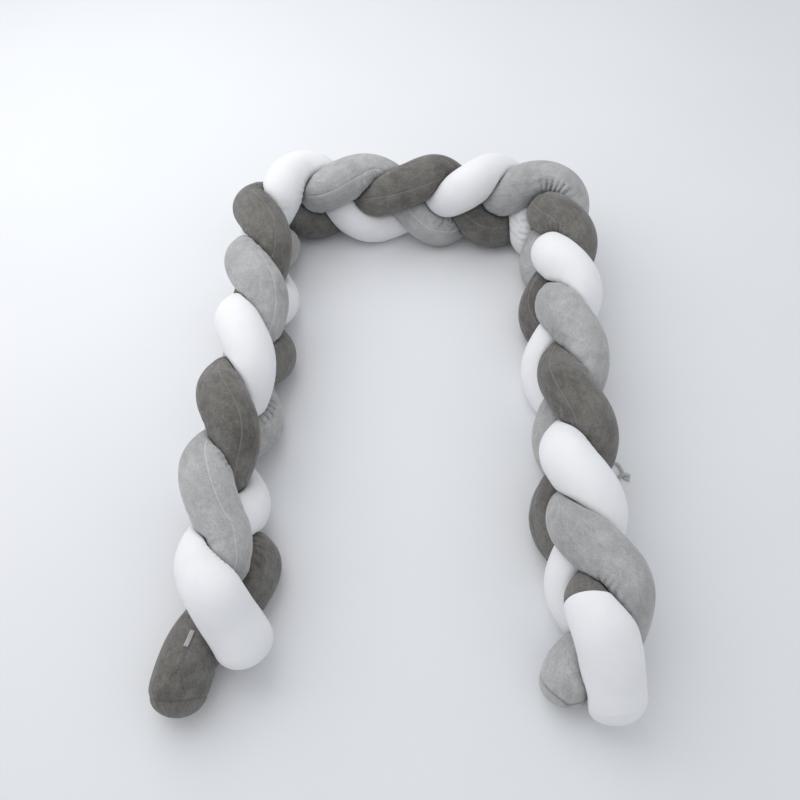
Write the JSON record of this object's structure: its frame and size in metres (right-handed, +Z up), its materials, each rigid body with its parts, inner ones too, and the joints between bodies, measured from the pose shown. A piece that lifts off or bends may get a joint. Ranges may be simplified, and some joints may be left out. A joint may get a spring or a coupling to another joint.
{
  "type": "braided crib bumper",
  "caption": "Plaited crib bumper of stuffed white, light grey and dark grey fabric tubes, standing on edge in a U with loose round ends and a narrow side tie.",
  "frame": {"origin": "middle of the footprint, at the height of the surface that the bumper stands on; the tie is not counted", "axes": "+Z up, +Y from the open front to the head end, +X towards the right arm, which carries the tie"},
  "size_m": [0.6572, 0.9563, 0.1629],
  "materials": {
    "white_jersey": "smooth knitted cotton jersey",
    "light_velour": "short brushed velour pile",
    "dark_velour": "short brushed velour pile",
    "grey_tape": "flat woven tape",
    "label_tape": "woven satin tape, blank"
  },
  "bodies": {
    "root": {"white_tube": "white_jersey", "light_tube": "light_velour", "dark_tube": "dark_velour", "white_end": "white_jersey", "tie_near": "grey_tape", "tie_far": "grey_tape", "seam_label": "label_tape"}
  },
  "joints": []
}
